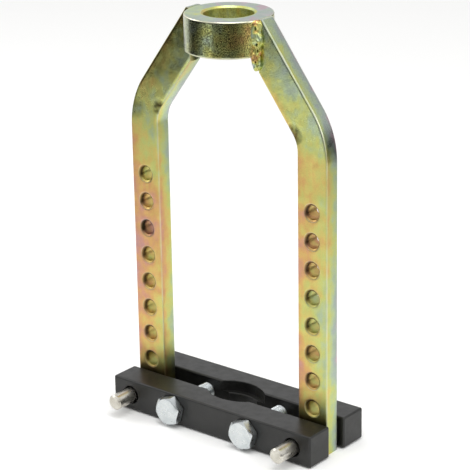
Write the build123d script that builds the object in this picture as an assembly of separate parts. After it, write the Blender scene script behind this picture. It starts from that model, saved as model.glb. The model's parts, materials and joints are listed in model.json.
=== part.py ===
from build123d import *

import math
import os

# Puller frame for drive shaft and constant velocity joints. A round collar at the top takes the
# slide hammer or the forcing screw. Two bent flat legs are welded to it, and the row of holes in
# each leg sets how low the pair of clamp bars hangs. The bars close on the shaft from both sides.
#
# Millimetres. X runs along the bars, Y runs from the front bar to the rear bar, and Z points up
# along the collar's bore. The pieces are drawn with Z counted up from the underside of the bars,
# and moved down at the end, so that the origin is the middle of the collar's bore.

# Whole frame
frame_height = 295.0

# Collar, a short thick tube
collar_radius = 30.0
collar_height = 25.0
collar_bore_radius = 17.0
collar_bore_chamfer = 1.2
collar_edge_chamfer = 1.2

# Legs, each a flat bar bent once: upright below, leaning in to the collar above
leg_thickness = 12.6
leg_width = 24.0
leg_outer_x = 84.0
leg_lean = 36.4  # degrees from upright, above the bend
leg_bend_height = 225.0  # where the outer edge would turn if it were sharp
leg_bend_outer_radius = 60.0
leg_bend_inner_radius = 22.0
leg_edge_radius = 1.2
leg_end_height = -0.6  # the legs reach a little lower than the bars

# Row of holes in each leg
hole_radius = 5.8
hole_chamfer = 0.6
hole_pitch = 20.0
hole_count = 9

# Clamp bars, square bar with rounded edges
bar_length = 175.0
bar_height = 22.8
bar_depth = 22.2
bar_edge_radius = 1.4
front_bar_gap = 1.5  # between the front bar and the legs
rear_bar_gap = 2.4  # between the rear bar and the legs

# Notch in the inner face of each bar: an upper recess over a shallower jaw
recess_radius = 29.0
recess_depth = 7.5
recess_height = 7.6
jaw_radius = 25.3
jaw_depth = 3.2
notch_edge_radius = 0.6

# Guide pins, fixed in the rear bar and free in the legs and the front bar
pin_radius = 5.5
pin_beyond_front_bar = 17.7
pin_tip_chamfer = 1.1
pin_foot_recess = 0.3  # how far the fixed end stays inside the rear bar's back
pin_guide_radius = 6.5
bar_hole_chamfer = 0.5

# Clamp bolts: M12 by 60, heads on the front bar, tapped into the rear bar
bolt_x = 32.8
bolt_radius = 6.0
bolt_length = 60.0
bolt_end_chamfer = 1.2
bolt_across_flats = 19.0
bolt_head_height = 6.9
bolt_head_turn = 15.0  # degrees that the heads stand turned from a corner on +X
bolt_washer_face_radius = 8.9
bolt_washer_face_height = 0.5
bolt_seat_gap = 0.05  # between the washer face and the bar
bolt_plain_hole_radius = 6.5  # in the front bar
bolt_tapped_hole_radius = 6.05  # in the rear bar, drawn as a smooth wall

# Weld beads: one up each corner between leg and collar, one under the collar at each leg
bead_low_center = 268.0
front_bead = (5.6, (28.9, 8.2), 289.3)  # radius, center across and along, highest center
rear_bead = (4.4, (29.2, 7.8), 287.0)
under_bead_reach = 7.5  # inwards under the collar
under_bead_drop = 8.0  # down the leg's end
under_bead_crown = 0.56  # share of both at its middle: 0.5 is flat, more bulges

# Worked out from the sizes above
origin_height = frame_height - collar_height / 2
collar_bottom = frame_height - collar_height
leg_center_x = leg_outer_x - leg_width / 2
leg_inner_x = leg_outer_x - leg_width
pin_height = bar_height / 2
front_bar_back = -leg_thickness / 2 - front_bar_gap
front_bar_front = front_bar_back - bar_depth
rear_bar_front = leg_thickness / 2 + rear_bar_gap
rear_bar_back = rear_bar_front + bar_depth
pin_tip_y = front_bar_front - pin_beyond_front_bar
pin_foot_y = rear_bar_back - pin_foot_recess
bolt_seat_y = front_bar_front - bolt_seat_gap


def turned(profile):
    """Turn a closed outline of (radius, height) points about Z."""
    return revolve(Plane.XZ * make_face(Polyline(profile, close=True)), Axis.Z)


def along_y(shape, x, y, z):
    """Lay a shape drawn along +Z down along -Y, with its base at the given point."""
    return Pos(x, y, z) * Rot(90, 0, 0) * shape


def hole_shape(radius, length, chamfer):
    """The space of a through hole along +Z from zero, flared at both mouths."""
    over = 1.0
    wide = radius + chamfer + over
    return turned(
        [
            (0, -over),
            (wide, -over),
            (radius, chamfer),
            (radius, length - chamfer),
            (wide, length + over),
            (0, length + over),
        ]
    )


def make_collar():
    tube = turned(
        [
            (collar_bore_radius + collar_bore_chamfer, 0),
            (collar_radius - collar_edge_chamfer, 0),
            (collar_radius, collar_edge_chamfer),
            (collar_radius, collar_height - collar_edge_chamfer),
            (collar_radius - collar_edge_chamfer, collar_height),
            (collar_bore_radius + collar_bore_chamfer, collar_height),
            (collar_bore_radius, collar_height - collar_bore_chamfer),
            (collar_bore_radius, collar_bore_chamfer),
        ]
    )
    return Pos(0, 0, collar_bottom) * tube


def make_right_leg():
    # The bar is drawn longer than the leg at both ends, its long edges are rounded, and the ends
    # are then sawn off square, which leaves them sharp.
    spare = 15.0
    run = math.tan(math.radians(leg_lean))  # how far the leg leans in for each unit of height
    inner_bend_height = leg_bend_height - leg_width * math.tan(math.radians(leg_lean / 2))
    top = frame_height + spare
    bottom = leg_end_height - spare
    outline = make_face(
        Polyline(
            (leg_outer_x, bottom),
            (leg_outer_x, leg_bend_height),
            (leg_outer_x - (top - leg_bend_height) * run, top),
            (leg_inner_x - (top - inner_bend_height) * run, top),
            (leg_inner_x, inner_bend_height),
            (leg_inner_x, bottom),
            close=True,
        )
    )
    outer_bend = outline.vertices().sort_by_distance((leg_outer_x, leg_bend_height, 0))[0]
    outline = fillet(outer_bend, leg_bend_outer_radius)
    inner_bend = outline.vertices().sort_by_distance((leg_inner_x, inner_bend_height, 0))[0]
    outline = fillet(inner_bend, leg_bend_inner_radius)
    leg = extrude(Plane.XZ * outline, amount=leg_thickness / 2, both=True)
    across = leg.faces().sort_by(Axis.Y)
    leg = fillet(across[0].edges() + across[-1].edges(), leg_edge_radius)

    kept = Pos(leg_center_x, 0, (leg_end_height + frame_height) / 2) * Box(
        leg_outer_x * 2, leg_thickness * 2, frame_height - leg_end_height
    )
    leg &= kept
    leg -= Pos(0, 0, frame_height) * Cylinder(collar_radius, frame_height)
    for step in range(hole_count):
        height = pin_height + step * hole_pitch
        drill = hole_shape(hole_radius, leg_thickness, hole_chamfer)
        leg -= along_y(drill, leg_center_x, leg_thickness / 2, height)
    return leg


def make_bar_blank():
    """A clamp bar with its notch, inner face on Y = 0 and the rest towards +Y."""
    bar = Pos(0, bar_depth / 2, bar_height / 2) * Box(bar_length, bar_depth, bar_height)
    bar = fillet(bar.edges(), bar_edge_radius)
    recess = Cylinder(
        recess_radius, recess_height * 2, align=(Align.CENTER, Align.MAX, Align.CENTER)
    )
    jaw = Cylinder(jaw_radius, bar_height * 3, align=(Align.CENTER, Align.MAX, Align.CENTER))
    bar -= Pos(0, recess_depth, bar_height) * recess
    bar -= Pos(0, jaw_depth, 0) * jaw
    ledge_height = bar_height - recess_height
    rims = ((recess_radius, round(bar_height, 3)), (jaw_radius, round(ledge_height, 3)))
    rounded = [
        edge
        for edge in bar.edges().filter_by(GeomType.CIRCLE)
        if (round(edge.radius, 3), round(edge.center().Z, 3)) in rims
    ]
    return fillet(rounded, notch_edge_radius)


def make_front_bar():
    bar = Pos(0, front_bar_back, 0) * mirror(make_bar_blank(), Plane.XZ)
    for side in (-1, 1):
        guide = hole_shape(pin_guide_radius, bar_depth, bar_hole_chamfer)
        bar -= along_y(guide, side * leg_center_x, front_bar_back, pin_height)
        plain = hole_shape(bolt_plain_hole_radius, bar_depth, bar_hole_chamfer)
        bar -= along_y(plain, side * bolt_x, front_bar_back, pin_height)
    return bar


def make_rear_bar():
    bar = Pos(0, rear_bar_front, 0) * make_bar_blank()
    for side in (-1, 1):
        socket = Cylinder(pin_radius, bar_depth * 2)
        bar -= along_y(socket, side * leg_center_x, rear_bar_back, pin_height)
        tapped = hole_shape(bolt_tapped_hole_radius, bar_depth, bar_hole_chamfer)
        bar -= along_y(tapped, side * bolt_x, rear_bar_back, pin_height)
    return bar


def make_pin(side):
    length = pin_foot_y - pin_tip_y
    pin = turned(
        [
            (0, 0),
            (pin_radius, 0),
            (pin_radius, length - pin_tip_chamfer),
            (pin_radius - pin_tip_chamfer, length),
            (0, length),
        ]
    )
    return along_y(pin, side * leg_center_x, pin_foot_y, pin_height)


def make_bolt(side):
    # Drawn upwards from the threaded end: shank, washer face, hexagon with its corners turned off.
    hex_start = bolt_length + bolt_washer_face_height
    head_top = bolt_length + bolt_head_height
    shank = turned(
        [
            (0, 0),
            (bolt_radius - bolt_end_chamfer, 0),
            (bolt_radius, bolt_end_chamfer),
            (bolt_radius, bolt_length),
            (bolt_washer_face_radius, bolt_length),
            (bolt_washer_face_radius, hex_start),
            (0, hex_start),
        ]
    )
    corner_radius = bolt_across_flats / math.sqrt(3)
    face_radius = bolt_across_flats / 2 * 0.95
    turned_off = (corner_radius - face_radius) * math.tan(math.radians(30))
    barrel = turned(
        [
            (0, hex_start),
            (corner_radius, hex_start),
            (corner_radius, head_top - turned_off),
            (face_radius, head_top),
            (0, head_top),
        ]
    )
    hexagon = extrude(
        RegularPolygon(bolt_across_flats / 2, 6, major_radius=False), amount=head_top
    )
    corner_turn = bolt_head_turn - 30  # the hexagon is drawn with a flat's middle on +X
    bolt = shank + (barrel & (Rot(0, 0, corner_turn) * hexagon))
    return along_y(bolt, side * bolt_x, bolt_seat_y + bolt_length, pin_height)


def make_under_bead(side_x, leg):
    """A bead across the leg's sawn end, in the corner under the collar."""
    start = (side_x * collar_radius, collar_bottom)
    reach = (side_x * (collar_radius - under_bead_reach), collar_bottom)
    foot = (side_x * collar_radius, collar_bottom - under_bead_drop)
    middle = (
        side_x * (collar_radius - under_bead_reach * under_bead_crown),
        collar_bottom - under_bead_drop * under_bead_crown,
    )
    section = make_face(Line(start, reach) + ThreePointArc(reach, middle, foot) + Line(foot, start))
    return extrude(Plane.XZ * section, amount=leg_thickness / 2, both=True) - leg


def make_corner_bead(side_x, side_y, size, touching):
    """A capsule up the corner between a leg's face and the collar, less what they fill."""
    radius, (center_x, center_y), high_center = size
    height = high_center - bead_low_center
    bead = Pos(0, 0, (bead_low_center + high_center) / 2) * Cylinder(radius, height)
    bead += Pos(0, 0, bead_low_center) * Sphere(radius)
    bead += Pos(0, 0, high_center) * Sphere(radius)
    bead = Pos(side_x * center_x, side_y * center_y, 0) * bead
    for other in touching:
        bead -= other
    return bead


def make_parts():
    collar = make_collar()
    right_leg = make_right_leg()
    legs = {"left": (-1, mirror(right_leg, Plane.YZ)), "right": (1, right_leg)}
    parts = {
        "collar": collar,
        "front_clamp_bar": make_front_bar(),
        "rear_clamp_bar": make_rear_bar(),
    }
    for name, (side, leg) in legs.items():
        under_bead = make_under_bead(side, leg)
        touching = (leg, collar, under_bead)
        parts[f"{name}_leg"] = leg
        parts[f"{name}_under_weld"] = under_bead
        parts[f"{name}_front_weld"] = make_corner_bead(side, -1, front_bead, touching)
        parts[f"{name}_rear_weld"] = make_corner_bead(side, 1, rear_bead, touching)
        parts[f"{name}_guide_pin"] = make_pin(side)
        parts[f"{name}_clamp_bolt"] = make_bolt(side)
    return parts


os.makedirs("parts", exist_ok=True)
for node, shape in make_parts().items():
    export_step(Pos(0, 0, -origin_height) * shape, f"parts/{node}.step")
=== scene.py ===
import bmesh
import bpy
import json
import math
import numpy as np
from functools import partial
from mathutils import Matrix, Vector


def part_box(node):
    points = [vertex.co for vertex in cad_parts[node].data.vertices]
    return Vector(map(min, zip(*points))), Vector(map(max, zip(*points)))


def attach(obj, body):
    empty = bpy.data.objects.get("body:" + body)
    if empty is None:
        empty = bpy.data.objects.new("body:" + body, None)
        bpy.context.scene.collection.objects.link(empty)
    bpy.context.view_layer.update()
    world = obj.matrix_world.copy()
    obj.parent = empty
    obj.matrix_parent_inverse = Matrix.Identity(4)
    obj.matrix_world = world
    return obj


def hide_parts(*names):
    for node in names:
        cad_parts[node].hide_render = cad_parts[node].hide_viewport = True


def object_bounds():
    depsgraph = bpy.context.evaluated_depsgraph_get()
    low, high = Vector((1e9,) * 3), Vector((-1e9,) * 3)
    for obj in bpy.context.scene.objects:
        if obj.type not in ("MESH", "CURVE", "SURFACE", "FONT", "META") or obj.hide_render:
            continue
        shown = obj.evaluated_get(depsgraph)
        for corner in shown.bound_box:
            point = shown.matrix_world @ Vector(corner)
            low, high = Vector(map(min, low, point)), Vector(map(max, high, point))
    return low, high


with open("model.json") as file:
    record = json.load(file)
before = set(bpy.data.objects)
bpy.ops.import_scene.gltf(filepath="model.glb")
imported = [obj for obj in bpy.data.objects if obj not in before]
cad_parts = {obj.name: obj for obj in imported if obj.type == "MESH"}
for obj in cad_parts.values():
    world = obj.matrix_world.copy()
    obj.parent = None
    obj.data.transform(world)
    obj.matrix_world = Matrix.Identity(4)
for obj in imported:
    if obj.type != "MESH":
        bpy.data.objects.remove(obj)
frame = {"nodes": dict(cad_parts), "record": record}
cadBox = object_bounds()
nodes = frame["nodes"]
mm = 0.001
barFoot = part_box("front_clamp_bar")[0].z  # underside of the clamp bars


# camera, light and floor

cameraView = {
    "place": (0.7956, -0.9834, 0.3082),  # metres
    "turn": 38.90,  # degrees from looking along +Y
    "down": 19.64,
    "roll": -0.96,
    "lens": 150.56,  # mm
    "sensor": 36,  # mm
    "clip": (0.05, 20),  # metres
}


def setCamera(view):
    # looks along (-sin turn cos down, cos turn cos down, -sin down), then rolls about that line
    turn, down, roll = (math.radians(view[name]) for name in ("turn", "down", "roll"))
    ahead = Vector((-math.sin(turn) * math.cos(down), math.cos(turn) * math.cos(down), -math.sin(down)))
    level = Vector((math.cos(turn), math.sin(turn), 0))
    above = level.cross(ahead)
    right = level * math.cos(roll) + above * math.sin(roll)
    up = above * math.cos(roll) - level * math.sin(roll)
    data = bpy.data.cameras.new("camera")
    data.lens, data.sensor_width = view["lens"], view["sensor"]
    data.clip_start, data.clip_end = view["clip"]
    camera = bpy.data.objects.new("camera", data)
    bpy.context.scene.collection.objects.link(camera)
    turned = Matrix((right, up, -ahead)).transposed().to_4x4()
    camera.matrix_world = Matrix.Translation(view["place"]) @ turned
    bpy.context.scene.camera = camera


def linear(hexColour):
    # sRGB hex to linear RGBA: value / 12.92 if dark, else ((value + 0.055) / 1.055) ** 2.4
    parts = [int(hexColour[i:i + 2], 16) / 255 for i in (1, 3, 5)]
    return [c / 12.92 if c <= 0.04045 else ((c + 0.055) / 1.055) ** 2.4 for c in parts] + [1.0]


def setInputs(node, inputs):
    # inputs in order or by name: a socket is linked, anything else becomes the input's own value
    named = inputs if isinstance(inputs, dict) else dict(enumerate(inputs))
    for socket, value in named.items():
        if isinstance(value, bpy.types.NodeSocket):
            node.id_data.links.new(value, node.inputs[socket])
        else:
            node.inputs[socket].default_value = value


def addNode(tree, kind, inputs=(), output=0, **settings):
    # adds a shader node with its settings and links, and gives one of its outputs
    node = tree.nodes.new("ShaderNode" + kind)
    for name, value in settings.items():
        setattr(node, name, value)
    setInputs(node, inputs)
    return node.outputs[output]


def newFinish(name):
    # a material, what adds nodes to it, its shader, and the place on the object in metres
    material = bpy.data.materials.new(name)
    material.use_nodes = True
    add = partial(addNode, material.node_tree)
    return material, add, material.node_tree.nodes["Principled BSDF"], add("TexCoord", output="Object")


studio = {
    "roomColour": "#ffffff",  # also of what the camera sees past the floor
    "roomDark": 0.05,  # strength of the unlit parts of the room
    "roomBright": 0.92,  # strength of the white walls and ceiling
    # unlit parts of the room: middle in degrees from +X towards -Y, cosines from it where the dark starts
    # and is full, sines of the height where the wall's light starts and is full
    "unlit": [
        (95.0, (0.10, 0.45), (0.10, 0.38)),
        (-52.0, (0.30, 0.75), (0.02, 0.30)),
    ],
    "floorColour": "#f4f4f3",
    "floorRoughness": 0.9,
    "floorHalf": 3.0,  # metres
    "beyondColour": "#262624",
    # where bright metal sees the dark room beyond the paper: metres along X and Y, start and full
    "paperEnds": [
        ((-0.55, -0.65), (-0.02, -0.17)),  # left
        ((0.34, 0.50), (0.25, -0.75)),  # right
        ((0.32, 0.54), (0.25, 0.55)),  # back
        ((-0.40, -0.30), (-0.74, -0.84)),  # front
    ],
    "lightStrip": (-0.20, 0.10, 0.14),  # between them: its middle along X, half width, and with its edges
    "lights": {  # place, size and watts of each soft box
        "keyTop": ((0.25, -0.25, 1.1), 0.9, 8.0),
        "fillRight": ((1.3, 0.3, 0.55), 0.8, 4.0),
        "fillLeft": ((-1.1, -0.35, 0.6), 0.7, 3.5),
    },
    "lightsAim": (0, 0, -0.15),
}


smoothly = {"interpolation_type": "SMOOTHSTEP"}


def setWorld(scene, plan):
    # dark = the largest of the unlit parts, each a smooth step of the direction's cosine x one of its height
    world = bpy.data.worlds.new("studio")
    scene.world = world
    world.use_nodes = True
    tree = world.node_tree
    add = partial(addNode, tree)
    tree.nodes.remove(tree.nodes["Background"])
    way = add("TexCoord", output="Generated")
    height = add("SeparateXYZ", [way], 2)
    dark = 0.0
    for middle, around, upward in plan["unlit"]:
        angle = math.radians(middle)
        middleWay = (math.cos(angle), -math.sin(angle), 0)
        toward = add("VectorMath", [way, middleWay], "Value", operation="DOT_PRODUCT")
        near = add("MapRange", [toward, *around], **smoothly)
        under = add("MapRange", [height, *upward, 1.0, 0.0], **smoothly)
        part = add("Math", [near, under], operation="MULTIPLY")
        dark = add("Math", [part, dark], operation="MAXIMUM")
    room = add("MapRange", [dark, 0.0, 1.0, plan["roomBright"], plan["roomDark"]])
    soft = add("Background", {"Color": linear(plan["roomColour"]), "Strength": room})
    plain = add("Background", {"Color": linear(plan["roomColour"]), "Strength": plan["roomBright"]})
    seen = add("LightPath", output="Is Camera Ray")
    both = add("MixShader", [seen, soft, plain])
    setInputs(tree.nodes["World Output"], {"Surface": both})


def makePaper(plan):
    # White paper on the floor. Mirrored in metal it ends where paper would, and the dark room follows: the
    # largest of the ends, each a smooth step along X x one along Y, but for the strip of light.
    material, add, paper, place = newFinish("palePaper")
    setInputs(paper, {"Base Color": linear(plan["floorColour"]), "Roughness": plan["floorRoughness"]})
    placeX, placeY = (add("SeparateXYZ", [place], axis) for axis in (0, 1))
    dark = 0.0
    for alongX, alongY in plan["paperEnds"]:
        stepX = add("MapRange", [placeX, *alongX], **smoothly)
        stepY = add("MapRange", [placeY, *alongY], **smoothly)
        part = add("Math", [stepX, stepY], operation="MULTIPLY")
        dark = add("Math", [part, dark], operation="MAXIMUM")
    middle, inside, outside = plan["lightStrip"]
    fromMiddle = add("Math", [placeX, middle], operation="SUBTRACT")
    aside = add("Math", [fromMiddle], operation="ABSOLUTE")
    beside = add("MapRange", [aside, inside, outside])
    mirrored = add("LightPath", output="Is Glossy Ray")
    share = add("Math", [beside, mirrored], operation="MULTIPLY")
    share = add("Math", [dark, share], operation="MULTIPLY")
    beyond = add("BsdfDiffuse", {"Color": linear(plan["beyondColour"])})
    mix = add("MixShader", [share, paper.outputs[0], beyond])
    setInputs(material.node_tree.nodes["Material Output"], {"Surface": mix})
    return material


def setStudio(plan):
    # soft boxes turned to the object, and a square of paper under it
    scene = bpy.context.scene
    scene.view_settings.view_transform = "Standard"
    setWorld(scene, plan)
    for name, (place, size, watts) in plan["lights"].items():
        data = bpy.data.lights.new(name, "AREA")
        data.shape, data.size, data.energy = "DISK", size, watts
        lamp = bpy.data.objects.new(name, data)
        scene.collection.objects.link(lamp)
        lamp.location = place
        aim = Vector(plan["lightsAim"]) - Vector(place)
        lamp.rotation_euler = aim.to_track_quat("-Z", "Y").to_euler()
    ground, half = cadBox[0][2], plan["floorHalf"]
    mesh = bpy.data.meshes.new("floor")
    corners = [(x * half, y * half, ground) for x, y in ((-1, -1), (1, -1), (1, 1), (-1, 1))]
    mesh.from_pydata(corners, [], [(0, 1, 2, 3)])
    floor = bpy.data.objects.new("floor", mesh)
    scene.collection.objects.link(floor)
    mesh.materials.append(makePaper(plan))


setCamera(cameraView)
setStudio(studio)
print("studio: camera, lights and floor")


# finishes

patchLimits = (0.3, 0.7)  # the part of a noise's range that patches use


def patches(add, place, size, limits=(0, 1), results=(0, 1), detail=2.0, rough=0.5, stretch=(1, 1, 1)):
    # noise with spots of that size in metres; its values between the limits are carried to the results
    spot = add("Mapping", {"Vector": place, "Scale": stretch})
    noise = add("TexNoise", {"Vector": spot, "Scale": 1 / size, "Detail": detail, "Roughness": rough}, "Fac")
    return add("MapRange", [noise, *limits, *results])


def setRamp(ramp, stops):
    # a colour at each place from 0 to 1
    while len(ramp.elements) > 1:
        ramp.elements.remove(ramp.elements[-1])
    ramp.elements[0].position, ramp.elements[0].color = stops[0][0], linear(stops[0][1])
    for place, colour in stops[1:]:
        ramp.elements.new(place).color = linear(colour)


# Zinc plate with a yellow chromate film: rolled or turned steel, plated and dipped. The film is under a
# thousandth of a millimetre thick, so it shows bands of grey, mint, straw, gold and rose as it thickens.
# The plate is satin, a little cloudy, with tiny dark specks where it took badly. Each piece carries its own
# marks as attributes: film, mottle, shade (mostly painted shade), gloss and a painted highlight; one that it
# lacks counts as 0.
chromate = {
    "bands": [
        (0.00, "#b9a3ab"), (0.06, "#aeb0ae"), (0.14, "#a5b2aa"), (0.28, "#b3c39c"), (0.42, "#c6cb7c"),
        (0.55, "#d4c273"), (0.68, "#d6ab6e"), (0.80, "#cf9b80"), (0.90, "#c99a92"), (1.00, "#a98a92"),
    ],
    "bandLimits": (0.25, 0.75),  # noise values that give the least and the most film
    "cloudSize": 9 * mm,
    "cloudShare": 0.13,  # of the whole range of bands
    "streakSize": 3 * mm,
    "streakShare": 0.05,
    "streakStretch": (1, 1, 0.25),  # four times as long upwards
    "speckSize": 0.8 * mm,  # drawn coarser than the plate's real crystals, so that it shows
    "speckLimits": (0.46, 0.60),
    "speckDark": 0.7,
    "speckColour": "#3a3826",
    # the painted shade's colour, also used for darker marks such as the press marks and the rusty hole
    "shadeColour": "#3f3820",
    "wornColour": "#e9e4cc",  # painted highlight in a pale zinc colour, on rounded edges and rims
    "glossSize": 5.4 * mm,
    "roughness": (0.34, 0.50),
    "glossyRoughness": (0.07, 0.15),
    "peelSize": 2.2 * mm,
    "peelDepth": 0.02 * mm,
    "speckDepth": 0.024 * mm,
    "grainSize": 0.45 * mm,
    "grainDepth": 0.006 * mm,
}


def makeChromate(plan):
    # colour = bands at film + clouds + streaks; over it the specks x mottle, the painted highlight's colour x
    # its mark and the painted shade's colour x shade; roughness between satin and glossy by gloss; three
    # bumps on each other
    material, add, shader, place = newFinish("yellowChromate")
    film, mottle, shade, gloss, worn = (add("Attribute", output="Fac", attribute_name=mark)
                                        for mark in ("film", "mottle", "shade", "gloss", "worn"))
    cloud, streak = plan["cloudShare"], plan["streakShare"]
    cloudy = patches(add, place, plan["cloudSize"], plan["bandLimits"], (-cloud, cloud))
    streaky = patches(add, place, plan["streakSize"], plan["bandLimits"], (-streak, streak),
                      stretch=plan["streakStretch"])
    clouded = add("Math", [film, cloudy], operation="ADD")
    thickness = add("Math", [clouded, streaky], operation="ADD", use_clamp=True)
    colour = add("ValToRGB", [thickness])
    setRamp(colour.node.color_ramp, plan["bands"])
    specks = patches(add, place, plan["speckSize"], plan["speckLimits"], detail=3.0, rough=0.65)
    specks = add("Math", [mottle, specks], operation="MULTIPLY")
    speckShare = add("Math", [specks, plan["speckDark"]], operation="MULTIPLY")
    for share, over in ((speckShare, "speckColour"), (worn, "wornColour"), (shade, "shadeColour")):
        over = linear(plan[over])
        colour = add("Mix", {"Factor": share, "A": colour, "B": over}, "Result", data_type="RGBA")
    patch = patches(add, place, plan["glossSize"], patchLimits, detail=3.0)
    satin, glossy = (add("MapRange", [patch, 0, 1, *plan[name]])
                     for name in ("roughness", "glossyRoughness"))
    rough = add("Mix", {"Factor": gloss, "A": satin, "B": glossy}, "Result", data_type="FLOAT")
    peel, grain = (patches(add, place, plan[name]) for name in ("peelSize", "grainSize"))
    bumps = add("Bump", {"Height": peel, "Distance": plan["peelDepth"]})
    for height, depth in ((specks, "speckDepth"), (grain, "grainDepth")):
        bumps = add("Bump", {"Height": height, "Distance": plan[depth], "Normal": bumps})
    setInputs(shader, {"Base Color": colour, "Metallic": 1.0, "Roughness": rough, "Normal": bumps})
    return material


# Mild steel bar, blasted and sprayed with satin black paint: a soft sheen, a faint orange peel, and a
# little grey dust that dulls it in patches.
blackPaint = {
    "colours": ("#0c0c0b", "#171715"),
    "dustColour": "#77746c",
    "patchSize": 14 * mm,
    "roughness": (0.30, 0.44),
    "roughSize": 5.6 * mm,
    "peelSize": 1.3 * mm,
    "peelDepth": 0.025 * mm,
    "dustSize": 0.9 * mm,
    "dustLimits": (0.62, 0.74),
    "dustShare": 0.16,
    "refraction": 1.5,
}


def makeBlackPaint(plan):
    # colour = patches from the first black to the second, and dust over them where a fine noise is highest
    material, add, shader, place = newFinish("satinBlackPaint")
    patch = patches(add, place, plan["patchSize"], patchLimits, detail=3.0)
    dust = patches(add, place, plan["dustSize"], plan["dustLimits"], (0.0, plan["dustShare"]),
                   detail=4.0, rough=0.7)
    colour, second = (linear(black) for black in plan["colours"])
    for share, over in ((patch, second), (dust, linear(plan["dustColour"]))):
        colour = add("Mix", {"Factor": share, "A": colour, "B": over}, "Result", data_type="RGBA")
    rough = patches(add, place, plan["roughSize"], patchLimits, plan["roughness"], detail=3.0)
    peel = add("Bump", {"Height": patches(add, place, plan["peelSize"]), "Distance": plan["peelDepth"]})
    setInputs(shader, {"Base Color": colour, "Roughness": rough, "IOR": plan["refraction"], "Normal": peel})
    return material


# Silver steel pin, centreless ground: bright, with very fine rings round its length and a few scuffs.
# Zinc plate on the bolts: blue-white, slightly cloudy.
steelPlans = {
    "groundSteel": {
        "colours": ("#d6d3ca", "#bdb9ae"),
        "patchSize": 5 * mm,
        "patchLimits": (0.35, 0.7),
        "roughness": (0.24, 0.38),
        "roughSize": 2.5 * mm,
        "ringSize": 0.35 * mm,  # real grinding marks are finer, drawn coarser so that they show
        "ringDepth": 0.003 * mm,
        "stretch": (0.1, 1, 0.1),
    },
    "clearZinc": {
        "colours": ("#d3d7d8", "#c3c9cb"),
        "patchSize": 6 * mm,
        "patchLimits": (0.35, 0.7),
        "roughness": (0.24, 0.36),
        "roughSize": 3 * mm,
        "ringSize": 0.8 * mm,
        "ringDepth": 0.006 * mm,
        "stretch": (1, 1, 1),
    },
}


def makeSteel(name, plan):
    # colour = patches from the first grey to the second; a bump of fine noise, stretched into rings
    material, add, shader, place = newFinish(name)
    patch = patches(add, place, plan["patchSize"], plan["patchLimits"], detail=3.0)
    first, second = (linear(grey) for grey in plan["colours"])
    colour = add("Mix", {"Factor": patch, "A": first, "B": second}, "Result", data_type="RGBA")
    rough = patches(add, place, plan["roughSize"], patchLimits, plan["roughness"], detail=3.0)
    rings = patches(add, place, plan["ringSize"], stretch=plan["stretch"])
    bumps = add("Bump", {"Height": rings, "Distance": plan["ringDepth"]})
    setInputs(shader, {"Base Color": colour, "Metallic": 1.0, "Roughness": rough, "Normal": bumps})
    return material


finishes = {
    "yellow_chromated_steel": makeChromate(chromate),
    "black_painted_steel": makeBlackPaint(blackPaint),
    "ground_steel": makeSteel("groundSteel", steelPlans["groundSteel"]),
    "zinc_plated_steel": makeSteel("clearZinc", steelPlans["clearZinc"]),
}
finishes["weld_metal"] = finishes["yellow_chromated_steel"]  # the welds were plated with the frame
slots = {part["node"]: part["material_slot"] for part in frame["record"]["subparts"]}
for node, slot in slots.items():
    mesh = nodes[node].data
    for i in range(len(mesh.materials)):
        mesh.materials[i] = finishes[slot]
print("finishes:", ", ".join(finishes))


# shared shape tools

meshPlan = {
    "seam": 2e-6,  # metres: points nearer to each other than this become one
    "fineSeam": 1e-8,  # for the weld beads, whose points lie closer
    "sliver": 1e-7,  # shorter edges are dissolved
    "lattice": 32,  # cells of random values before they repeat
    "filmLimits": (0.02, 0.98),
}


def softNoise(points, size, seed):
    # random values from -1 to 1 on a lattice with that spacing, blended between its corners by 3t^2 - 2t^3
    cells = meshPlan["lattice"]
    table = np.random.default_rng(seed).uniform(-1, 1, (cells, cells, cells))
    low = np.floor(points / size).astype(int)
    part = points / size - low
    part = part * part * (3 - 2 * part)
    total = np.zeros(len(points))
    for corner in np.ndindex(2, 2, 2):
        share = np.prod(np.where(corner, part, 1 - part), axis=1)
        total += share * table[tuple(((low + corner) % cells).T)]
    return total


def gridFaces(rows, columns, start, ring):
    # the quads of a grid of points, row by row; a ring's last column joins its first
    last = columns if ring else columns - 1
    i, j = np.meshgrid(np.arange(rows - 1), np.arange(last), indexing="ij")
    a, b = i * columns + j, i * columns + (j + 1) % columns
    return (start + np.stack([a, b, b + columns, a + columns], axis=-1)).reshape(-1, 4)


def buildPiece(name, grids, body, node, sharpAngle, marks={}, seam=meshPlan["seam"]):
    # grids is a list of (points[rows, columns, 3] in metres, ring); marks names arrays that match them
    points, faces, start = [], [], 0
    for grid, ring in grids:
        rows, columns = grid.shape[:2]
        points.append(grid.reshape(-1, 3))
        faces.append(gridFaces(rows, columns, start, ring))
        start += rows * columns
    points, faces = np.concatenate(points), np.concatenate(faces)
    mesh = bpy.data.meshes.new(name)
    mesh.from_pydata(points.tolist(), [], faces.tolist())
    for mark, values in marks.items():
        layer = mesh.attributes.new(mark, "FLOAT", "POINT")
        layer.data.foreach_set("value", np.concatenate([v.reshape(-1) for v in values]).astype(np.float32))
    work = bmesh.new()
    work.from_mesh(mesh)
    bmesh.ops.remove_doubles(work, verts=work.verts, dist=seam)
    bmesh.ops.dissolve_degenerate(work, edges=work.edges, dist=meshPlan["sliver"])
    bmesh.ops.recalc_face_normals(work, faces=work.faces)
    loose = sum(not edge.is_manifold for edge in work.edges)
    work.to_mesh(mesh)
    work.free()
    mesh.shade_smooth()
    mesh.set_sharp_from_angle(angle=math.radians(sharpAngle))
    piece = bpy.data.objects.new(name, mesh)
    bpy.context.scene.collection.objects.link(piece)
    mesh.materials.append(finishes[slots[node]])
    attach(piece, body)
    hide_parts(node)
    print(name + ":", len(mesh.vertices), "points,", loose, "open edges")
    return piece


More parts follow.
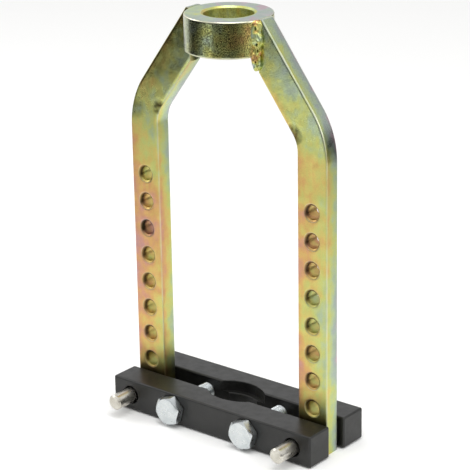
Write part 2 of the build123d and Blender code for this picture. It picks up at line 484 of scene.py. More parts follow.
def placesAndNormals(mesh):
    # two arrays of [points, 3]
    both = np.zeros((2, len(mesh.vertices) * 3), np.float32)
    for values, what in zip(both, ("co", "normal")):
        mesh.vertices.foreach_get(what, values)
    return both.reshape(2, -1, 3).astype(float)


def readMark(mesh, mark):
    values = np.zeros(len(mesh.vertices), np.float32)
    mesh.attributes[mark].data.foreach_get("value", values)
    return values.astype(float)


def setMarks(mesh, **marks):
    # one value for each point, or one for all of them; the film keeps clear of the ends of its bands
    for mark, values in marks.items():
        if mark == "film":
            values = np.clip(values, *meshPlan["filmLimits"])
        layer = mesh.attributes.new(mark, "FLOAT", "POINT")
        layer.data.foreach_set("value", np.broadcast_to(values, len(mesh.vertices)).astype(np.float32))


def pushOut(mesh, amount):
    # moves each point along its own normal by amount(points, normals), in metres
    place, normal = placesAndNormals(mesh)
    moved = place + normal * amount(place, normal)[:, None]
    mesh.vertices.foreach_set("co", moved.astype(np.float32).ravel())
    mesh.update()


def clouds(place, layers, seed):
    # the sum of soft noises, each of its own size and strength
    return sum(strength * softNoise(place, size, seed + i) for i, (size, strength) in enumerate(layers))


# legs

legPlan = {
    "width": 24.0 * mm,
    "lean": math.radians(36.4),  # from upright, above the bend
    "bendHeight": 225.0 * mm,  # of the outer edge's corner, above the bars' underside
    "outerRadius": 60.0 * mm,
    "innerRadius": 22.0 * mm,
    "edgeRadius": 1.3 * mm,
    "holeRadius": (5.8 * mm, 5.15 * mm),  # of the lowest, which the pin fills, and of the others
    "frontRim": (1.65 * mm, 0.9 * mm),  # of the bevelled rim: how far it spreads, how deep it goes
    "rearRim": (0.6 * mm, 0.2 * mm),
    "bevelCurve": 1.4,  # power of the bevel's depth, 1 for a straight one
    "holePitch": 20.0 * mm,
    "firstHole": 11.4 * mm,
    "holeCount": 9,
    "collarRadius": 30.0 * mm,
    "sharpAngle": 40.0,
    "rollWaves": (0.035 * mm, 0.0175 * mm),  # unevenness of the rolled bar, 14 and 4 mm long
    # by side: x, height, reach and depth of the marks that the bending press left, and how dark they are
    "pressMarks": {
        1: [(57.0 * mm, 222.5 * mm, 7.0 * mm, 0.75 * mm, 1.0)],
        -1: [(-58.0 * mm, 222.0 * mm, 5.5 * mm, 0.6 * mm, 1.0),
             (-81.0 * mm, 220.0 * mm, 9.0 * mm, 0.2 * mm, 0.5)],
    },
    "pressEdge": (1.1, 0.6),  # a mark's edge, as a share of its reach, and the power of its slope
    "pressGrain": 1.7 * mm,
    "pressRough": (0.55, 0.45),  # the even and the grainy share of its depth, and of its darkness
    "pressDark": (0.85, 0.5),
    "steps": {  # of the mesh, along each part of the shape
        "across": 18, "hole": 16, "low": 2, "high": 19, "bend": 32, "lean": 72, "corner": 6, "side": 10,
        "cell": 7, "bevel": 5, "wall": 11, "end": 10,
    },
}


def edgeLine(edgeX, cornerHeight, radius, along):
    # an upright edge that turns through an arc and leans inwards; along is measured from the arc's middle
    lean = legPlan["lean"]
    halfArc = radius * lean / 2
    onArc = np.clip(along, -halfArc, halfArc)
    angle = (onArc + halfArc) / radius
    x = edgeX - radius + radius * np.cos(angle)
    z = cornerHeight - radius * math.tan(lean / 2) + radius * np.sin(angle)
    spare = along - onArc
    x = x - np.maximum(spare, 0) * math.sin(lean)
    z = z + np.maximum(spare, 0) * math.cos(lean) + np.minimum(spare, 0)
    return x, z


legLow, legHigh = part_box("right_leg")
legHalf = legPlan["width"] / 2
bendHalf = legPlan["outerRadius"] * legPlan["lean"] / 2  # half the bend's length, on the outer edge


def legPlace(along, across, y):
    # a point of the right leg. along: metres past the middle of the bend, measured on the outer edge;
    # across: from -half a width at the inner edge to +half at the outer one. The two edges are worked
    # out on their own arcs, and the point lies between them.
    lean, radius, outerRadius = legPlan["lean"], legPlan["innerRadius"], legPlan["outerRadius"]
    outerCorner = barFoot + legPlan["bendHeight"]
    innerCorner = outerCorner - legPlan["width"] * math.tan(lean / 2)
    innerHalf = (outerRadius - legPlan["width"] - radius) * math.tan(lean / 2) + radius * lean / 2
    inBend = np.clip(along, -bendHalf, bendHalf)
    outer = edgeLine(legHigh.x, outerCorner, outerRadius, along)
    inner = edgeLine(legHigh.x - legPlan["width"], innerCorner, radius,
                     inBend * innerHalf / bendHalf + along - inBend)
    share = across / legPlan["width"] + 0.5
    x, z = (low * (1 - share) + high * share for low, high in zip(inner, outer))
    return np.stack(np.broadcast_arrays(x, y, z), axis=-1)


def legReach(across, y):
    # length of the leaning part along each line, to the collar's wall or the level cut at the top
    start = legPlace(np.full(np.shape(across), bendHalf), across, y)
    toRing = (start[..., 0] - np.sqrt(legPlan["collarRadius"] ** 2 - y ** 2)) / math.sin(legPlan["lean"])
    toTop = (legHigh.z - start[..., 2]) / math.cos(legPlan["lean"])
    return np.minimum(toRing, toTop)


def nearEdge(distance):
    # 1 at an edge, 0 from 5 mm away
    return 1 - np.clip(distance / (5 * mm), 0, 1)


def legGrids(side):
    # Sides and plain faces: the bar's rounded section carried up the bent line. Faces with holes: a ring
    # grid for each hole, from its cell's rectangle to the rim's circle, down the bevel, through the wall and
    # out again behind. Ends: flat grids from front to rear. Marks: place across, nearness to an edge, hole.
    plan, steps = legPlan, legPlan["steps"]
    radius, thick, pitch = plan["edgeRadius"], legHigh.y, plan["holePitch"]
    flat = legHalf - radius
    bendStart = barFoot + plan["bendHeight"] - plan["outerRadius"] * math.tan(plan["lean"] / 2)
    cellFoot = barFoot + plan["firstHole"] - pitch / 2
    holes = range(plan["holeCount"])
    across = np.linspace(-flat, flat, steps["across"] + 1)
    up = np.linspace(0, 1, steps["hole"] + 1)

    def alongAt(z):
        return z - bendStart - bendHalf  # on the upright part

    lowRows = alongAt(np.linspace(legLow.z, cellFoot, steps["low"] + 1))
    holeRows = alongAt(np.concatenate([cellFoot + pitch * (k + up[:-1]) for k in holes]))
    highRows = alongAt(np.linspace(cellFoot + pitch * len(holes), bendStart, steps["high"] + 1))
    bendRows = np.linspace(-bendHalf, bendHalf, steps["bend"] + 1)
    leanRows = np.linspace(0, 1, steps["lean"] + 1)  # shares of the leaning part
    turn = np.linspace(0, math.pi / 2, steps["corner"] + 1)
    corner = np.stack([flat + radius * np.sin(turn), -thick + radius * (1 - np.cos(turn))], 1)
    sideY = np.linspace(-thick + radius, thick - radius, steps["side"] + 1)[1:-1]
    strip = np.concatenate([corner, np.stack([0 * sideY + legHalf, sideY], 1), corner[::-1] * (1, -1)])
    front = np.stack([across, 0 * across - thick], 1)
    grids, marks = [], {"across": [], "edgeNear": [], "bore": []}

    def keep(along, u, y, near, bore=0.0, ring=False):
        along, u, y, near, bore = np.broadcast_arrays(along, u, y, near, bore)
        grids.append((legPlace(along, u, y) * (side, 1, 1), ring))
        for mark, values in zip(marks, (u / legHalf * side, near, bore)):
            marks[mark].append(values.copy())

    def carry(section, near, *rows):
        u, y = section[None, :, 0], section[None, :, 1]
        for stretch in rows:
            keep(stretch[:, None], u, y, near[None])
        keep(bendHalf + leanRows[:, None] * legReach(u, y), u, y, near[None])

    for sign in (1, -1):
        edge, face = strip * (sign, 1), front * (1, sign)
        carry(edge, nearEdge(thick - np.abs(edge[:, 1])),
              np.concatenate([lowRows[:-1], holeRows, highRows, bendRows[1:]]))
        carry(face, nearEdge(legHalf - np.abs(face[:, 0])), lowRows, np.concatenate([highRows, bendRows[1:]]))

    upSide = np.full(steps["hole"] - 1, flat)
    cellU = np.concatenate([across, upSide, across[::-1], -upSide])
    cellV = np.concatenate([0 * across, up[1:-1], 0 * across + 1, up[-2:0:-1]])
    cellV = (cellV - 0.5) * pitch
    angle = np.arctan2(cellV, cellU)
    ringX, ringY = np.cos(angle), np.sin(angle)

    def rimRings(bore, wide, deep):
        # from the cell's edge over the flat face to the rim, then down the bevel: u, v, y, share of the hole
        rim = bore + wide
        for s in np.linspace(1, 0, steps["cell"] + 1):
            yield s * cellU + (1 - s) * rim * ringX, s * cellV + (1 - s) * rim * ringY, -thick, 0.0
        for s in np.linspace(0, 1, steps["bevel"] + 1)[1:]:
            bevel = rim - wide * s
            yield bevel * ringX, bevel * ringY, -thick + deep * s ** plan["bevelCurve"], 0.3 + 0.7 * s

    for k in holes:
        bore = plan["holeRadius"][min(k, 1)]
        wallY = np.linspace(plan["frontRim"][1] - thick, thick - plan["rearRim"][1], steps["wall"] + 1)[1:-1]
        wall = [(bore * ringX, bore * ringY, y, 1.0) for y in wallY]
        rear = [(u, v, -y, share) for u, v, y, share in rimRings(bore, *plan["rearRim"])]
        u, v, y, share = map(np.array, zip(*rimRings(bore, *plan["frontRim"]), *wall, *rear[::-1]))
        beside = np.hypot(u, v) - bore - plan["frontRim"][0]
        near = np.maximum(nearEdge(legHalf - np.abs(u)), 0.8 * nearEdge(2 * beside))
        keep(alongAt(v + cellFoot + pitch * (k + 0.5)), u, y[:, None], near, share[:, None], ring=True)

    capU = np.concatenate([-corner[::-1, 0], across[1:-1], corner[:, 0]])
    capY = np.concatenate([corner[::-1, 1], 0 * across[1:-1] - thick, corner[:, 1]])
    capY = -capY * np.linspace(-1, 1, steps["end"] + 1)[:, None]
    capU = np.broadcast_to(capU, capY.shape)
    keep(alongAt(np.full(capU.shape, legLow.z)), capU, capY, 0.5)
    keep(bendHalf + legReach(capU, capY), capU, capY, 0.5)
    return grids, marks


legFinish = {
    # film thickness by height above the bars' underside in metres, right and left leg
    "heights": (0.04, 0.08, 0.12, 0.16, 0.195, 0.225, 0.26, 0.295),
    "film": {
        1: (0.56, 0.54, 0.54, 0.49, 0.44, 0.34, 0.30, 0.38),
        -1: (0.60, 0.64, 0.73, 0.64, 0.48, 0.42, 0.42, 0.48),
    },
    "filmAcross": 0.13,  # lost towards +X
    "filmRear": 0.08,  # lost on the rear face
    "filmSide": (0.06, 0.46),  # on the narrow sides: added, and lost from front to rear
    "filmLean": {1: ((0, 1), (0, 0)), -1: ((0.235, 0.265), (0, 0.14))},  # added there, by height
    "filmEdge": (0.05, 0.10),  # added near the edges; lost on their rounding, which paints a highlight there
    "filmClouds": ((45 * mm, 0.13), (16 * mm, 0.078)),
    "topFilm": 0.16,  # of the level cut at the top
    "topHeight": 285.0 * mm,
    "boreFilm": 0.52,
    "boreBrown": {1: 0.04, -1: 0.03},  # film added in the holes, by depth through the bar
    "brownDepths": ((0.2, 0.45, 0.75), (1, 0.6, 1)),
    "boreShade": {1: 0.20, -1: 0.05},  # painted shade in the holes, by depth through the bar
    "boreShadeDepths": ((0.2, 0.5, 0.8), (1, 0.5, 1)),
    # painted shadow just inside each hole's front rim: its way along X and Z, spread, share in the middle,
    # share by depth
    "holeShadowWay": (-0.8, 0.6),
    "holeShadowSpread": (1.3, 0.35),
    "holeShadowDepths": ((0.0, 0.05, 0.22, 0.38), (0.7, 1.0, 0.9, 0.0)),
    "holeShadowFilm": 0.15,
    "holeShadowDark": 0.95,
    "rustyHole": {1: -1, -1: 6},  # number of the darker hole, from 0 at the foot; -1 for none
    "rust": 0.25,  # film and dullness added in it
    # by height: darkening of the faces, painted shade on the leaning narrow sides and painted shade at the
    # foot between the bars
    "faceDarkening": {1: ((0, 1), (0, 0)), -1: ((0.195, 0.225, 0.26, 0.295), (0.0, 0.12, 0.18, 0.22))},
    "faceDarkeningClouds": (0.75, 0.5),  # the even and the cloudy share of it, in clouds of 18 mm
    "sideShade": {
        1: ((0.225, 0.245, 0.275), (0, 0.14, 0.16)),
        -1: ((0.225, 0.245, 0.275), (0, 0.22, 0.45)),
    },
    "footShade": ((0.022, 0.032, 0.046), (0.9, 0.45, 0)),
    "footShadeLost": 0.5,  # of it, in the holes
    "mottle": ((0.19, 0.27), (0.10, 0.30)),
    "gloss": ((0.19, 0.25), (0.0, 0.75)),
    "worn": 0.6,  # a painted highlight along the rounded edges
    "wornClouds": (0.7, 0.7),  # the even and the cloudy share of it, in clouds of 8 mm
}


def pressShares(place, normal, side):
    # for each mark of the press, on the front face: (1.1 - distance / reach) ** 0.6, its depth, its darkness
    edge, power = legPlan["pressEdge"]
    for markX, markZ, reach, depth, dark in legPlan["pressMarks"][side]:
        away = np.hypot(place[:, 0] - markX, place[:, 2] - barFoot - markZ) / reach
        yield np.clip(edge - away, 0, 1) ** power * (normal[:, 1] < -0.5), depth, dark


def finishLeg(mesh, side, seed):
    # film = that of the face, the narrow side or the hole, + clouds; shade = the sum of the darker places,
    # most of them painted shade, or the painted shadow in each hole where that is darker
    plan = legFinish
    place, normal = placesAndNormals(mesh)
    across, edgeNear, bore = (readMark(mesh, mark) for mark in ("across", "edgeNear", "bore"))
    height, depth = place[:, 2] - barFoot, (place[:, 1] / legHigh.y + 1) / 2
    facing = np.abs(normal[:, 1]) * (1 - bore)
    rounded = 4 * facing * (1 - facing) * (bore < 0.5)
    base = np.interp(height, plan["heights"], plan["film"][side])
    onFace = base - plan["filmAcross"] * across - plan["filmRear"] * (normal[:, 1] > 0)
    onSide = base + plan["filmSide"][0] - plan["filmSide"][1] * depth
    onSide += np.interp(height, *plan["filmLean"][side])

    pitch, firstHole = legPlan["holePitch"], legPlan["firstHole"]
    fromHole = (height - firstHole + pitch / 2) % pitch - pitch / 2
    fromMiddle = place[:, 0] - side * (legHigh.x - legHalf)
    # painted shadow just inside each hole's front rim, towards -X and upwards; the film added under it browns
    # it
    holeShadow = (plan["holeShadowWay"][0] * fromMiddle + plan["holeShadowWay"][1] * fromHole) / legPlan["holeRadius"][0]
    holeShadow = np.clip(holeShadow * plan["holeShadowSpread"][0] + plan["holeShadowSpread"][1], 0, 1)
    holeShadow = holeShadow * np.interp(depth, *plan["holeShadowDepths"])
    rust = plan["rust"] * bore * (np.round((height - firstHole) / pitch) == plan["rustyHole"][side])
    inBore = plan["boreFilm"] + plan["boreBrown"][side] * np.interp(depth, *plan["brownDepths"])
    # painted shade through the bore
    boreShading = plan["boreShade"][side] * np.interp(depth, *plan["boreShadeDepths"])
    boreDark = np.maximum(plan["holeShadowDark"] * holeShadow, boreShading)

    film = (facing * onFace + (1 - facing) * onSide) * (1 - bore) + (inBore + plan["holeShadowFilm"] * holeShadow) * bore
    film += rust + clouds(place, plan["filmClouds"], seed + 60)
    # the thinner film on the rounded edges is a painted highlight
    film += plan["filmEdge"][0] * edgeNear * (1 - bore) - plan["filmEdge"][1] * rounded

    # the left leg's faces darker towards the top, in clouds of 18 mm
    even, cloudy = plan["faceDarkeningClouds"]
    shade = np.interp(height, *plan["faceDarkening"][side]) * facing
    shade *= even + cloudy * softNoise(place, 18 * mm, seed + 62)
    # painted shade on the leaning narrow sides, towards the collar
    shade += np.interp(height, *plan["sideShade"][side]) * (1 - facing) * (1 - bore)
    even, grainy = legPlan["pressDark"]
    for share, _, dark in pressShares(place, normal, side):
        shade += dark * share * (even + grainy * softNoise(place, legPlan["pressGrain"], seed + 41))
    # painted shade at the foot, where the leg stands between the black bars
    footShadeShare = facing if side > 0 else 1.0  # the right leg's outside gets none
    shade += np.interp(height, *plan["footShade"]) * (1 - plan["footShadeLost"] * bore) * footShadeShare

    # the level cut at the top takes the film of the collar's top, and none of the painted shade
    level = np.clip(normal[:, 2], 0, 1) ** 4 * (height > plan["topHeight"])
    film, shade = film * (1 - level) + plan["topFilm"] * level, shade * (1 - level)
    # a painted highlight along the rounded edges, stronger in clouds of 8 mm
    even, cloudy = plan["wornClouds"]
    highlightPatches = np.clip(even + cloudy * softNoise(place, 8 * mm, seed + 63), 0, 1)
    setMarks(mesh, film=film, mottle=np.interp(height, *plan["mottle"]),
             shade=np.clip(np.maximum(shade, bore * boreDark) + rust, 0, 1),
             gloss=np.interp(height, *plan["gloss"]) * (1 - rounded),
             worn=plan["worn"] * rounded ** 2 * highlightPatches)


def makeLeg(side, name, node, seed):
    # the bar's surface + the waves of rolling - the marks of the press
    grids, marks = legGrids(side)
    mesh = buildPiece(name, grids, "frame", node, legPlan["sharpAngle"], marks).data

    def uneven(place, normal):
        long, short = legPlan["rollWaves"]
        waves = long * softNoise(place, 14 * mm, seed) + short * softNoise(place, 4 * mm, seed + 20)
        even, grainy = legPlan["pressRough"]
        for share, depth, _ in pressShares(place, normal, side):
            rough = even + grainy * softNoise(place, legPlan["pressGrain"], seed + 40)
            waves = waves - depth * share * rough
        return waves

    pushOut(mesh, uneven)
    finishLeg(mesh, side, seed)


makeLeg(1, "rightLegBar", "right_leg", 11)
makeLeg(-1, "leftLegBar", "left_leg", 12)


# collar

collarPlan = {
    "bore": 17.0 * mm,  # radius
    "edge": 1.2 * mm,  # rounded outer corners
    "chamfer": 1.2 * mm,  # at both ends of the bore
    "sharpAngle": 35.0,
    "lathe": 0.004 * mm,  # depth of the waves left by the lathe and the tumbling, 5 and 2 mm long
    "latheStretch": (1, 1, 2.2),
    "steps": {"round": 240, "corner": 6, "wall": 25, "top": 11, "chamfer": 3, "bore": 21},  # of the mesh
    # on the wall, the flat faces and the bore
    "film": (0.30, 0.13, 0.42),
    "filmClouds": ((22 * mm, 0.13), (6 * mm, 0.09)),
    "filmRight": (0.20, -0.11),  # added towards +X, on the wall and the flat faces
    "filmLeft": -0.1,  # added towards -X, on the wall, under the painted reflection there
    "mottle": (0.1, 1.15),  # everywhere, and added on the wall
    "mottleLost": (0.6, 0.8),  # of that, in the bore and towards -X
    "shade": (0.15, 0.10),  # painted shade on the wall and in the bore
    "worn": (3.0, 0.9),  # painted highlight on the rounded corners, and a painted reflection on the wall towards -X
    "matt": 0.8,  # gloss lost on the flat faces
}


def makeCollar(plan, name, node):
    # a turned ring: a profile of radius and height, carried once round the Z axis
    steps = plan["steps"]
    low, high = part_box(node)
    outer, bore, edge, chamfer = high.x, plan["bore"], plan["edge"], plan["chamfer"]

    def line(start, end, count):
        return np.linspace(start, end, steps[count] + 1)

    turn = np.linspace(math.pi / 2, 0, steps["corner"] + 1)
    corner = np.stack([outer - edge + edge * np.sin(turn), high.z - edge + edge * np.cos(turn)], 1)
    wall = line((outer, low.z + edge), (outer, high.z - edge), "wall")
    top = line((outer - edge, high.z), (bore + chamfer, high.z), "top")
    slope = line((bore + chamfer, high.z), (bore, high.z - chamfer), "chamfer")
    inside = line((bore, high.z - chamfer), (bore, low.z + chamfer), "bore")
    upper = np.concatenate([wall[len(wall) // 2:-1], corner, top[1:], slope[1:], inside[1:len(inside) // 2]])
    lower = upper[::-1] * (1, -1) + (0, high.z + low.z)
    # the profile runs round its own section, so its first row is repeated at the end to close it
    radius, height = np.concatenate([upper, lower, upper[:1]]).T[:, :, None]
    angle = np.linspace(0, 2 * math.pi, steps["round"], endpoint=False)
    grid = np.stack([radius * np.cos(angle), radius * np.sin(angle), height + 0 * angle], axis=-1)
    mesh = buildPiece(name, [(grid, True)], "frame", node, plan["sharpAngle"]).data
    pushOut(mesh, lambda place, normal: plan["lathe"] * (
        softNoise(place, 5 * mm, 31) + softNoise(place * plan["latheStretch"], 2 * mm, 32)))

    place, normal = placesAndNormals(mesh)
    flat = np.abs(normal[:, 2])
    upright = 1 - flat
    inBore = (np.hypot(place[:, 0], place[:, 1]) < bore + chamfer + 0.1 * mm) * 1.0
    right, left = (np.clip(way * place[:, 0] / outer, 0, 1) ** 2 * (1 - inBore) for way in (1, -1))
    film = (plan["film"][0] * upright + plan["film"][1] * flat) * (1 - inBore) + plan["film"][2] * inBore
    film += clouds(place, plan["filmClouds"], 33)
    film += right * (plan["filmRight"][0] * upright + plan["filmRight"][1] * flat)
    film += left * plan["filmLeft"] * upright
    lostBore, lostLeft = plan["mottleLost"]
    mottle = plan["mottle"][1] * upright * (1 - lostBore * inBore) * (1 - lostLeft * left)
    # painted shade on the wall, none on the side towards -X, and in the bore
    shade = plan["shade"][0] * (1 - inBore) * (1 - left) + plan["shade"][1] * inBore
    # painted highlight on the rounded corners, and a painted reflection on the wall towards -X
    worn = plan["worn"][0] * flat * upright + plan["worn"][1] * left * upright
    setMarks(mesh, film=film, mottle=mottle + plan["mottle"][0], shade=shade * upright,
             worn=np.clip(worn, 0, 1) * (1 - inBore),
             gloss=(1 - plan["matt"] * flat) * (1 - inBore) * (1 - left))


makeCollar(collarPlan, "collarRing", "collar")


# weld beads

beadPlan = {
    "front": {
        "corner": (28.9 * mm, 8.2 * mm),  # centre line, beside the leg
        "radius": 5.6 * mm,
        "span": (266.5 * mm, 289.3 * mm),  # of the centre line, above the bars' underside
        "taper": (0.62, 1.0),  # of the radius, at the lower and the upper end
    },
    "rear": {
        "corner": (29.2 * mm, 7.8 * mm),
        "radius": 4.4 * mm,
        "span": (268.0 * mm, 287.0 * mm),
        "taper": (0.9, 1.0),
    },
    "leftFront": {
        "corner": (28.3 * mm, 8.4 * mm),
        "radius": 3.9 * mm,
        "span": (269.0 * mm, 287.5 * mm),
        "taper": (0.8, 1.0),
    },
    "crown": -43,  # degrees round from +X, halfway between the toes
    "toes": 63,  # degrees to each side of it
    "flatness": 0.5,
    "ripples": 7,
    "rippleDepth": 0.12 * mm,
    "lumps": ((6 * mm, 1.6 * mm), (2.6 * mm, 0.7 * mm), (1.1 * mm, 0.12 * mm)),  # size and height
    "lumpLevel": 0.3,  # share of their height that lies below the plain bead
    "proud": 0.3 * mm,  # the most that they stand out
    "sunk": 0.08 * mm,  # how far its hidden part lies under the other pieces' faces
    "topGap": 0.02 * mm,
    "pits": [  # degrees round from +X, share of the length, size, depth
        (318, 0.54, 1.0 * mm, 2.0 * mm),
        (332, 0.42, 1.1 * mm, 2.2 * mm),
        (296, 0.20, 1.0 * mm, 1.4 * mm),
        (292, 0.86, 1.3 * mm, 1.5 * mm),
    ],
    "columns": 96,
    "rows": 128,
    "sharpAngle": 60.0,
    "film": 0.50,
    "filmClouds": ((6 * mm, 0.25), (2.5 * mm, 0.25)),
    "mottle": 0.1,
    "shade": (0.1, 0.8),  # in clouds of 3 mm, and in the pits
}


def fromAngle(angle, degrees):
    # the turn from a direction, between -pi and pi
    return (angle - math.radians(degrees) + math.pi) % (2 * math.pi) - math.pi


def makeCornerBead(sideX, way, name, node, seed):
    # a capsule stood on end, radius = bead radius x taper + lumps + ripples - pits; what would lie inside
    # the collar or the leg is drawn back to just under their surfaces
    plan = beadPlan
    shape = plan.get(("left" if sideX < 0 else "right") + way.capitalize(), plan[way])
    low, high = shape["span"]
    cap, length = shape["radius"], high - low
    quarter = cap * math.pi / 2
    travel = np.linspace(0, 1, plan["rows"])[:, None]
    angle = np.linspace(0, 2 * math.pi, plan["columns"], endpoint=False)[None, :]
    s = travel * (length + 2 * quarter)
    capLow = np.clip(s / cap, 0, math.pi / 2)
    capHigh = np.clip((s - length) / cap - math.pi / 2, 0, math.pi / 2)
    ring = np.where(s < quarter, np.sin(capLow), np.cos(capHigh))
    lift = low - cap * np.cos(capLow) + np.clip(s - quarter, 0, length) + cap * np.sin(capHigh)
    ball = np.broadcast_arrays(ring * np.cos(angle) * cap, ring * np.sin(angle) * cap, lift)
    spots = np.stack(ball, axis=-1).reshape(-1, 3)
    lumps = clouds(spots, plan["lumps"], seed) - plan["lumpLevel"] * sum(tall for _, tall in plan["lumps"])
    waves = np.sin(2 * math.pi * (travel * plan["ripples"] + 0.3 * np.cos(angle)))
    grow = lumps.reshape(ball[0].shape) + plan["rippleDepth"] * waves
    pitted = np.zeros_like(grow)
    for degrees, share, size, depth in plan["pits"]:
        upward = lift - low + cap - share * (length + 2 * cap)
        dent = np.exp(-(np.hypot(fromAngle(angle, degrees) * cap, upward) / size) ** 4)
        pitted = np.maximum(pitted, dent)
        grow = grow - depth * dent
    # between its toes on the collar and on the leg the bead is flatter than round
    toes = math.radians(plan["toes"])
    aside = np.clip(fromAngle(angle, plan["crown"]), -toes, toes)
    flat = plan["flatness"] * (1 - math.cos(toes) / np.cos(aside))
    taper = np.interp(travel, (0, 1), shape["taper"])
    reach = np.minimum(cap * taper * (1 - flat) + np.minimum(grow, plan["proud"]), cap)
    x = shape["corner"][0] + ring * np.cos(angle) * reach
    y = -shape["corner"][1] + ring * np.sin(angle) * reach
    z = np.minimum(barFoot + lift + 0.2 * grow, legHigh.z - plan["topGap"])
    wall = legPlan["collarRadius"] - plan["sunk"]
    push = np.where(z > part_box("collar")[0].z, np.maximum(wall / np.hypot(x, y), 1), 1)
    x, y = x * push, np.minimum(y * push, plan["sunk"] - legHigh.y)
    sideY = 1 if way == "front" else -1
    grid = np.stack([x * sideX, y * sideY, z], axis=-1)
    mesh = buildPiece(name, [(grid, True)], "frame", node, plan["sharpAngle"], {"pitted": [pitted]},
                      meshPlan["fineSeam"]).data
    place, _ = placesAndNormals(mesh)
    cloudy, pitDark = plan["shade"]
    shade = cloudy * softNoise(place, 3 * mm, seed + 4) + pitDark * readMark(mesh, "pitted")
    setMarks(mesh, film=plan["film"] + clouds(place, plan["filmClouds"], seed + 2), mottle=plan["mottle"],
             shade=np.clip(shade, 0, 1))


underPlan = {
    "reach": 7.5 * mm,  # inwards under the collar
    "drop": 8.0 * mm,  # down the leg
    "bulge": 1.1 * mm,
    "lumps": (4 * mm, 0.7 * mm),  # size and height
    "lumpLevel": 0.4,
    "back": (0.5 * mm, 2.5 * mm),  # how far inwards its hidden back lies, at its ends and in the middle
    "backGap": 0.2 * mm,
    "endShape": 8,  # power of the rounding at both ends
    "columns": (24, 9),  # over the crown, and up behind
    "rows": 40,
    "film": 0.62,
    "filmClouds": ((4 * mm, 0.28),),
    "mottle": 0.25,
}


def makeUnderBead(sideX, name, node, seed):
    # a fillet across the leg under the collar: its section, from the toe under the collar over the crown to
    # the toe on the leg and back up behind, is carried along Y and shrinks at both ends
    plan = underPlan
    reach, drop = plan["reach"], plan["drop"]
    slope = math.hypot(reach, drop)
    low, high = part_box(node)
    outer = max(abs(low.x), abs(high.x))
    face = np.linspace(0, 1, plan["columns"][0])
    bulge = plan["bulge"] * np.sin(math.pi * face)
    faceX = outer - reach * (1 - face) - bulge * drop / slope
    faceZ = high.z - drop * face - bulge * reach / slope
    upBack = np.linspace(-1, 1, plan["columns"][1] + 1)[1:-1]
    near, far = plan["back"]
    backX = outer - near - (far - near) * (1 - np.abs(upBack))
    backZ = faceZ[-1] + (high.z - plan["backGap"] - faceZ[-1]) * (upBack + 1) / 2
    ringX, ringZ = np.concatenate([faceX, backX]), np.concatenate([faceZ, backZ])
    along = np.linspace(-1, 1, plan["rows"])[:, None]
    ends = np.sqrt(np.clip(1 - np.abs(along) ** plan["endShape"], 0, 1))
    middleX, middleZ = outer - reach / 4, high.z - drop / 4
    x = middleX + (ringX - middleX) * ends
    z = middleZ + (ringZ - middleZ) * ends
    y = along * high.y + 0 * x
    size, tall = plan["lumps"]
    spots = np.stack([x, y, z], axis=-1).reshape(-1, 3)
    lumps = tall * (softNoise(spots, size, seed).reshape(x.shape) - plan["lumpLevel"]) * ends
    x = x - lumps * drop / slope
    z = np.minimum(z - lumps * reach / slope, high.z)
    grid = np.stack([x * sideX, y, z], axis=-1)
    mesh = buildPiece(name, [(grid, True)], "frame", node, beadPlan["sharpAngle"]).data
    place, _ = placesAndNormals(mesh)
    setMarks(mesh, film=plan["film"] + clouds(place, plan["filmClouds"], seed + 2), mottle=plan["mottle"])


for sideX, sideName in ((1, "right"), (-1, "left")):
    for way in ("front", "rear"):
        makeCornerBead(sideX, way, sideName + way.capitalize() + "Bead", sideName + "_" + way + "_weld",
                       51 + 10 * sideX + (3 if way == "rear" else 0))
    makeUnderBead(sideX, sideName + "UnderBead", sideName + "_under_weld", 71 + sideX)


# hex bolts

boltPlan = {
    "acrossFlats": 19.0 * mm,
    "headFlat": 0.95,  # diameter of the flat front face, as a share of across flats
    "dished": 0.12 * mm,  # depth of the hollow in the struck face
    "chamferAngle": math.radians(30),
    "cornerCut": 0.12 * mm,  # off the hexagon's sharp corners
    "cornerTurn": math.radians(15),  # of the first hex corner from +X
    "washerRadius": 8.9 * mm,
    "washerDepth": 0.5 * mm,
    "edge": 0.1 * mm,  # chamfers on the head's rear edge and on the washer face
    "headGap": 0.05 * mm,
    "neck": 0.5 * mm,  # fillet under the head
    "shankRadius": 5.95 * mm,
    "plainLength": 30.0 * mm,
    "pitch": 1.75 * mm,
    "threadDepth": 0.95 * mm,
    "threadShape": (1.35, 0.18),  # steepness of the flanks, and share cut off the crests
    "point": (1.0 * mm, 2.0 * mm),  # bevel at the tip, and radius of the last ring before the pole
    "pole": 0.02 * mm,
    "columns": 72,
    "rowsPerPitch": 10,
    "sharpAngle": 24.0,
}


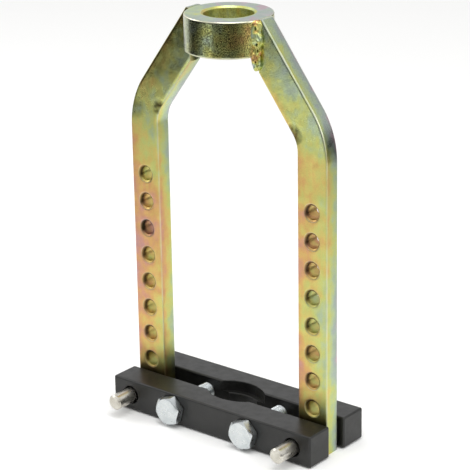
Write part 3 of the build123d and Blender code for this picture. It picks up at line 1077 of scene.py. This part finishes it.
def makeBolt(plan, name, node, body):
    # surfaces of revolution about the bolt's axis, with the head's rings following the hexagon
    # r = half across flats / cos(angle from the nearest flat's middle), and the thread's
    # r = shank radius - depth x a rounded saw of (length / pitch + turn)
    low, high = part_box(node)
    pinLow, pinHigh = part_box("left_guide_pin")
    centreX, centreZ = (low.x + high.x) / 2, (pinLow.z + pinHigh.z) / 2
    half, edge, dished = plan["acrossFlats"] / 2, plan["edge"], plan["dished"]
    angle = np.linspace(0, 2 * math.pi, plan["columns"], endpoint=False) + plan["cornerTurn"]
    fromFlat = (angle - plan["cornerTurn"]) % (math.pi / 3) - math.pi / 6
    hexRadius = np.minimum(half / np.cos(fromFlat), half / math.cos(math.pi / 6) - plan["cornerCut"])
    frontY, headY = low.y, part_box("front_clamp_bar")[0].y - plan["headGap"]
    flatRadius = plan["headFlat"] * half
    rings = [(0 * angle, frontY + dished + 0 * angle)]  # (radius, y), each by column

    def add(radius, y):
        rings.append((radius + 0 * angle, y + 0 * angle))

    for share in np.linspace(0.02, 1, 8):
        add(flatRadius * share, frontY + dished * (1 - share ** 2))
    for share in (0.3, 0.65, 1.0):
        outwards = (hexRadius - flatRadius) * share
        add(flatRadius + outwards, frontY + outwards * math.tan(plan["chamferAngle"]))
    topY, backY = rings[-1][1], headY - plan["washerDepth"]
    for share in np.linspace(0.12, 1, 7):
        add(hexRadius - (edge if share == 1 else 0), topY + (backY - topY) * share)
    shank, neck = plan["shankRadius"], plan["neck"]
    threadStart = headY + plan["plainLength"]
    add(plan["washerRadius"], backY)
    add(plan["washerRadius"] - edge, headY)
    add(shank + neck, headY)
    add(shank, headY + neck)
    for y in np.linspace(headY + 4 * neck, threadStart - neck, 12):
        add(shank, y)
    steep, crest = plan["threadShape"]
    bevel, tipRadius = plan["point"]
    steps = int((high.y - threadStart) / plan["pitch"] * plan["rowsPerPitch"])
    for y in np.linspace(threadStart, high.y, steps):
        wave = (y / plan["pitch"] + angle / (2 * math.pi)) % 1
        saw = np.clip(np.abs(wave - 0.5) * 2 * steep - crest, 0, 1)
        fade = min(1.0, (y - threadStart) / plan["pitch"])
        add(np.minimum(shank - plan["threadDepth"] * saw * fade, shank - bevel + high.y - y), y)
    for radius in (tipRadius, plan["pole"], 0):
        add(radius, high.y)
    radius, y = map(np.array, zip(*rings))
    grid = np.stack([centreX + radius * np.cos(angle), y, centreZ + radius * np.sin(angle)], axis=-1)
    buildPiece(name, [(grid, True)], body, node, plan["sharpAngle"])


makeBolt(boltPlan, "leftBoltSteel", "left_clamp_bolt", "left_bolt")
makeBolt(boltPlan, "rightBoltSteel", "right_clamp_bolt", "right_bolt")
